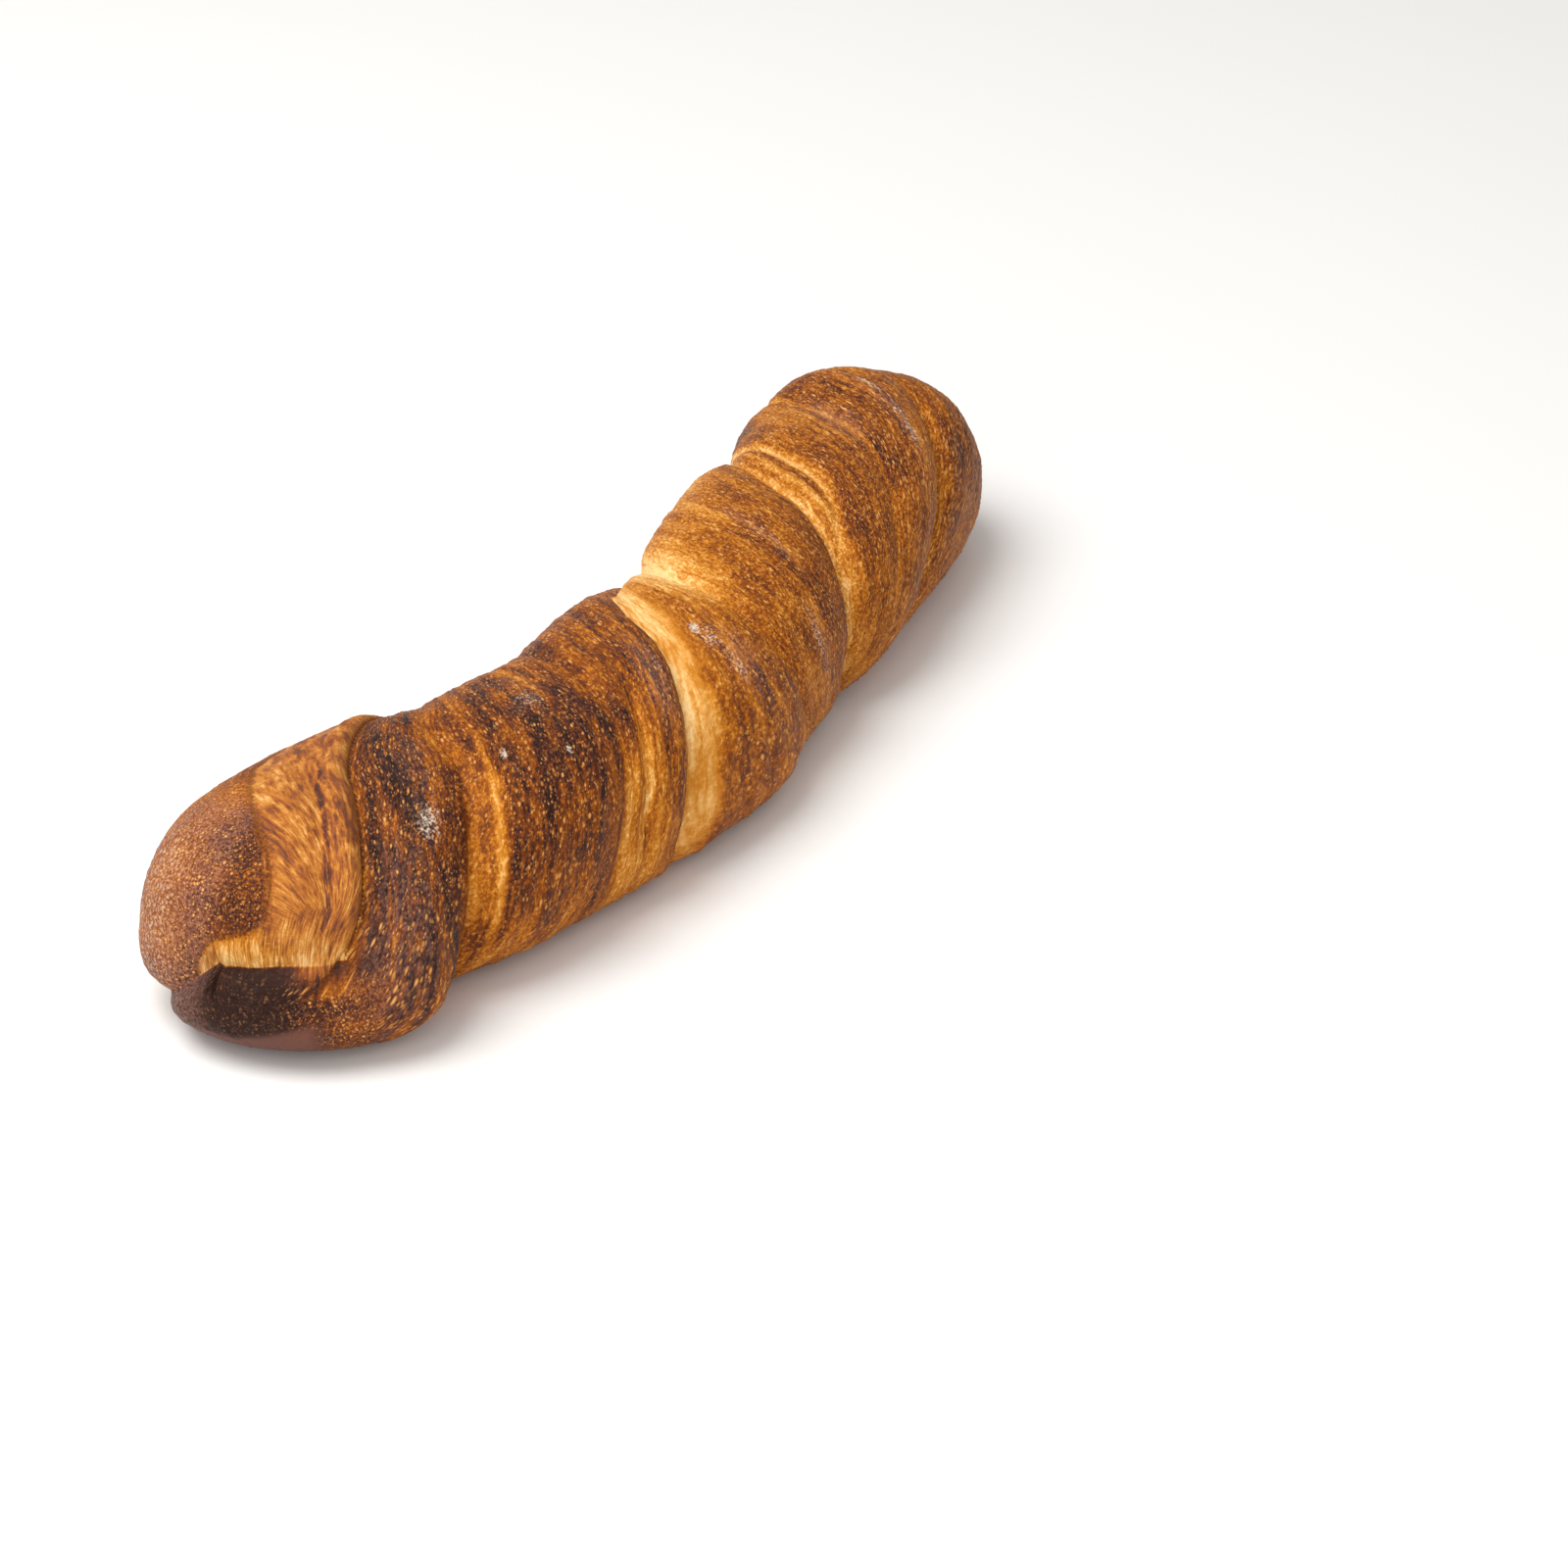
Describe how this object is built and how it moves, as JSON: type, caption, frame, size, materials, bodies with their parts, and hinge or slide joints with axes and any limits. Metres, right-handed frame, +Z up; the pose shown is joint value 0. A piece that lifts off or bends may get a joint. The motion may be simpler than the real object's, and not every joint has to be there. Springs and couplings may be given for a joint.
{
  "type": "twisted rustic loaf",
  "caption": "Long rustic bread loaf twisted along its length, with a dark blistered crust, paler golden folds and a thick knobbed end; lies on its flat underside, uncut and ready to slice.",
  "frame": {"origin": "middle of the bounding box, on the surface that the loaf lies on", "axes": "+X along the loaf from its thick near end to its far end, +Y to the left of that, +Z up"},
  "size_m": [0.4212, 0.13, 0.0678],
  "materials": {
    "crust": "baked crust, mahogany brown on the high parts and golden in the folds, satin with fine blisters"
  },
  "bodies": {
    "root": {"loaf": "crust"}
  },
  "joints": []
}
